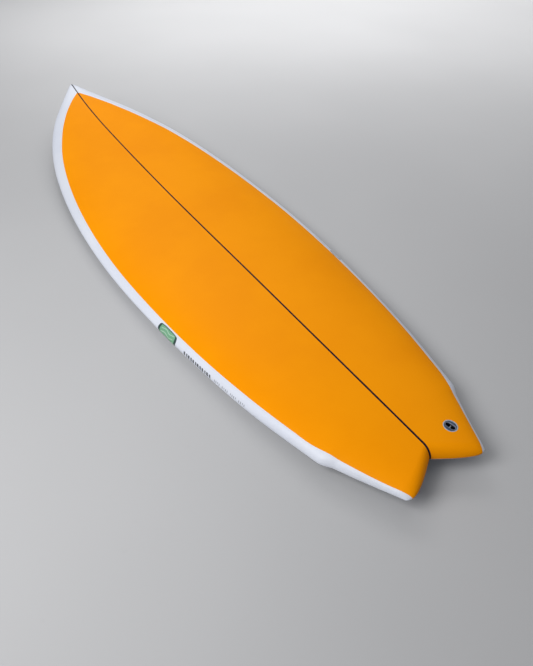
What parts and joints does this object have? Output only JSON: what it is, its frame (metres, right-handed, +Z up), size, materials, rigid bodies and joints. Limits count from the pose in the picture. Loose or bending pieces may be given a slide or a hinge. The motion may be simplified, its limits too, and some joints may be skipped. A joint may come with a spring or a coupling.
{
  "type": "surfboard",
  "caption": "Short surfboard with a swallow tail and small wings: foam core on a stringer, glassed skins, coloured deck, leash plug and sunk fin plugs with set screws.",
  "frame": {"origin": "centre of the outline, at the height of the lowest point of the bottom", "axes": "+Y from tail to nose, +X to the right-hand rail seen from above with the nose ahead, +Z up out of the deck"},
  "size_m": [0.496, 1.727, 0.122],
  "materials": {
    "deck_glass": "orange resin tint under a satin sanded finish",
    "bottom_glass": "bluish white glass, satin sanded finish",
    "foam": "shaped closed-cell foam",
    "stringer": "thin strip stained near black",
    "resin_ring": "pale potting resin, sanded",
    "cup": "dark blue-grey moulded plastic",
    "pin": "plain stainless rod",
    "plug": "light grey moulded plastic",
    "screw": "stainless set screw"
  },
  "bodies": {
    "board": {"deck_glass": "deck_glass", "bottom_glass": "bottom_glass", "blank_left": "foam", "blank_right": "foam", "stringer": "stringer", "leash_ring": "resin_ring", "leash_cup": "cup", "leash_pin": "pin", "fin_plug_center_rear": "plug", "fin_plug_center_front": "plug", "fin_plug_left_rear": "plug", "fin_plug_left_front": "plug", "fin_plug_right_rear": "plug", "fin_plug_right_front": "plug"},
    "set_screw_center_rear": {"set_screw_center_rear": "screw"},
    "set_screw_center_front": {"set_screw_center_front": "screw"},
    "set_screw_left_rear": {"set_screw_left_rear": "screw"},
    "set_screw_left_front": {"set_screw_left_front": "screw"},
    "set_screw_right_rear": {"set_screw_right_rear": "screw"},
    "set_screw_right_front": {"set_screw_right_front": "screw"}
  },
  "joints": [
    {"name": "turn_set_screw_center_rear", "type": "hinge", "parent": "board", "child": "set_screw_center_rear", "pos_m": [-0.0085, -0.7555, 0.02899], "axis": [-0.4226, -0.0587, -0.9044], "range_deg": [0, 720]},
    {"name": "turn_set_screw_center_front", "type": "hinge", "parent": "board", "child": "set_screw_center_front", "pos_m": [-0.0085, -0.7005, 0.02521], "axis": [-0.4226, -0.0684, -0.9037], "range_deg": [0, 720]},
    {"name": "turn_set_screw_left_rear", "type": "hinge", "parent": "board", "child": "set_screw_left_rear", "pos_m": [-0.13751, -0.57888, 0.01652], "axis": [0.4148, -0.0785, -0.9065], "range_deg": [0, 720]},
    {"name": "turn_set_screw_left_front", "type": "hinge", "parent": "board", "child": "set_screw_left_front", "pos_m": [-0.13511, -0.52392, 0.0131], "axis": [0.4178, -0.0713, -0.9057], "range_deg": [0, 720]},
    {"name": "turn_set_screw_right_rear", "type": "hinge", "parent": "board", "child": "set_screw_right_rear", "pos_m": [0.13751, -0.57888, 0.01652], "axis": [-0.4148, -0.0785, -0.9065], "range_deg": [0, 720]},
    {"name": "turn_set_screw_right_front", "type": "hinge", "parent": "board", "child": "set_screw_right_front", "pos_m": [0.13511, -0.52392, 0.0131], "axis": [-0.4178, -0.0713, -0.9057], "range_deg": [0, 720]}
  ]
}
